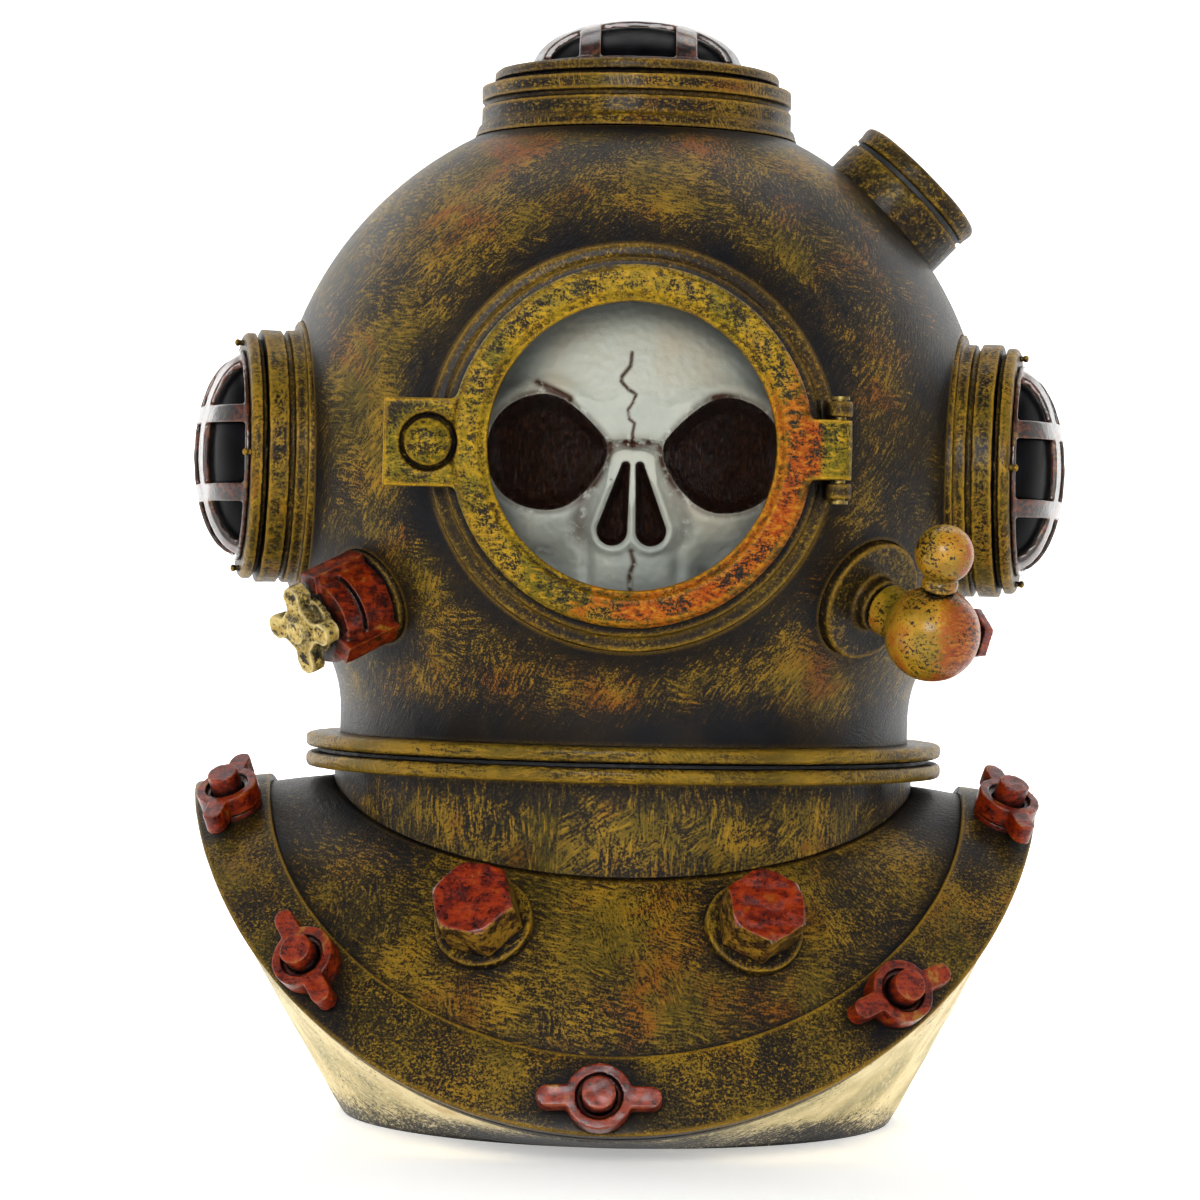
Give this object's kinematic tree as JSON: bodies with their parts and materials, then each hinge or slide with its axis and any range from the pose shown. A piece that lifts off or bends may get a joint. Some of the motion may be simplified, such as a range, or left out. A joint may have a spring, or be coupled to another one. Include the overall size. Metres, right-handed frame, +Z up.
{
  "type": "bubbling aquarium ornament",
  "caption": "Diver's helmet ornament for an aquarium: a round bonnet with a skull behind its hinged front port, on a flared breastplate base with an air stone inside.",
  "frame": {"origin": "centre of the flat base, on the surface that the ornament stands on", "axes": "+Z up, the front port faces -Y, +X is to the right seen from the front"},
  "size_m": [0.1508, 0.1545, 0.1904],
  "materials": {
    "aged_gold": "cast resin, charcoal base coat dry-brushed with antique gold and rust, satin",
    "base_gold": "cast resin, charcoal base coat dry-brushed with antique gold, satin",
    "worn_red": "cast resin, oxide red rubbed back to gold on the edges, satin",
    "guard_rust": "cast resin, rust brown with worn gold edges",
    "dark_dome": "near-black gloss",
    "bone": "cast resin, pale grey bone with a dark brown wash in the hollows",
    "seal_rubber": "matt black",
    "airline": "flexible tube, dark",
    "air_stone": "sintered grit, open-pored",
    "inlet_plastic": "moulded black",
    "pin_steel": "stainless pin"
  },
  "bodies": {
    "root": {"base_shell": "base_gold", "base_plate": "base_gold", "corselet": "aged_gold", "front_brail": "aged_gold", "rear_brail": "aged_gold", "neck_collar": "aged_gold", "lower_neck_ring": "aged_gold", "neck_gasket": "seal_rubber", "brail_studs": "worn_red", "wing_nut_front": "worn_red", "wing_nut_front_left": "worn_red", "wing_nut_front_right": "worn_red", "wing_nut_shoulder_left": "worn_red", "wing_nut_shoulder_right": "worn_red", "wing_nut_rear": "worn_red", "wing_nut_rear_right": "worn_red", "wing_nut_rear_left": "worn_red", "bolt_flanges": "aged_gold", "hex_bolt_left": "worn_red", "hex_bolt_right": "worn_red", "air_inlet": "inlet_plastic", "air_tube": "airline", "air_stone": "air_stone"},
    "bonnet": {"bonnet": "aged_gold", "bonnet_neck_ring": "aged_gold", "front_port_housing": "aged_gold", "skull": "bone", "hinge_pin": "pin_steel", "left_port_base": "aged_gold", "left_port_lens": "dark_dome", "left_port_bezel": "aged_gold", "left_port_guard": "guard_rust", "right_port_base": "aged_gold", "right_port_lens": "dark_dome", "right_port_bezel": "aged_gold", "right_port_guard": "guard_rust", "top_port_base": "aged_gold", "top_port_lens": "dark_dome", "top_port_bezel": "aged_gold", "top_port_guard": "guard_rust", "cap_boss": "aged_gold", "cap_seal_ring": "seal_rubber", "blank_cap": "aged_gold", "exhaust_seat": "aged_gold", "exhaust_barrel": "worn_red", "cock_flange": "aged_gold"},
    "door": {"front_port_door": "aged_gold", "door_catch": "aged_gold"},
    "star_knob": {"exhaust_star_knob": "aged_gold"},
    "ball_cock": {"cock_ball": "aged_gold", "cock_handle": "aged_gold", "cock_hex_plug": "worn_red"}
  },
  "joints": [
    {"name": "bonnet_turn", "type": "hinge", "parent": "root", "child": "bonnet", "pos_m": [0, 0, 0.061], "axis": [0, 0, 1], "range_deg": [0, 45]},
    {"name": "door_swing", "type": "hinge", "parent": "bonnet", "child": "door", "pos_m": [0.0332, -0.0623, 0.1143], "axis": [0, 0, 1], "range_deg": [0, 105]},
    {"name": "star_knob_turn", "type": "hinge", "parent": "bonnet", "child": "star_knob", "pos_m": [-0.04898, -0.04258, 0.08608], "axis": [-0.6998, -0.6083, -0.3746], "continuous": true},
    {"name": "ball_cock_turn", "type": "hinge", "parent": "bonnet", "child": "ball_cock", "pos_m": [0.04446, -0.04685, 0.08802], "axis": [0.6443, -0.679, -0.3518], "range_deg": [0, 90]}
  ]
}
